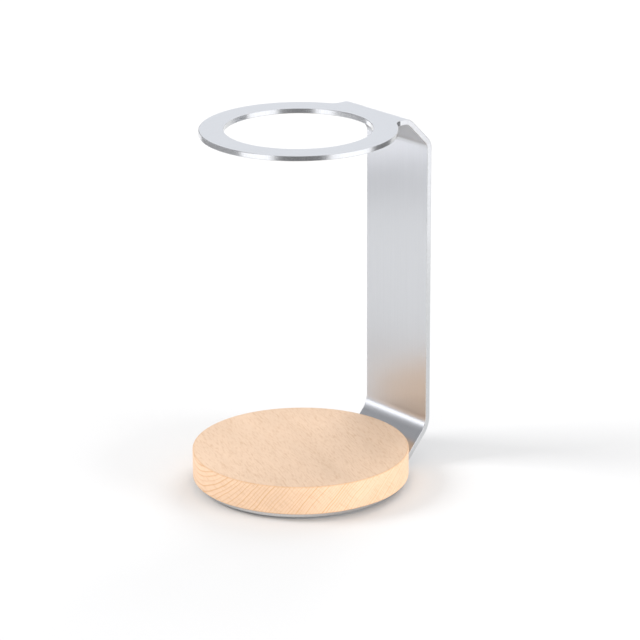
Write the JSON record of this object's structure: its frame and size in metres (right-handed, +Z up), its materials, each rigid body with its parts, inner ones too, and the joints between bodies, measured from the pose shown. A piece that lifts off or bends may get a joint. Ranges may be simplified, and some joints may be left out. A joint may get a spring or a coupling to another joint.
{
  "type": "pour over drip stand",
  "caption": "Bent steel drip stand with a ring that holds a coffee dripper above a cup, on a round beech base",
  "frame": {"origin": "bottom centre of the whole stand's box, on the surface that it stands on", "axes": "+Z up, +Y from the ring towards the strap at the back, +X to the right seen from the front"},
  "size_m": [0.112, 0.1248, 0.1896],
  "materials": {
    "stainless_steel": "fine brushed stainless sheet with bright cut edges",
    "beech": "sanded pale beech with a thin matt oil",
    "screw_steel": "bright zinc plate",
    "silicone": "matt dark silicone"
  },
  "bodies": {
    "root": {"steel_frame": "stainless_steel", "beech_disc": "beech", "base_screw_1": "screw_steel", "base_screw_2": "screw_steel", "base_screw_3": "screw_steel", "base_screw_4": "screw_steel", "rubber_foot_1": "silicone", "rubber_foot_2": "silicone", "rubber_foot_3": "silicone", "rubber_foot_4": "silicone"}
  },
  "joints": []
}
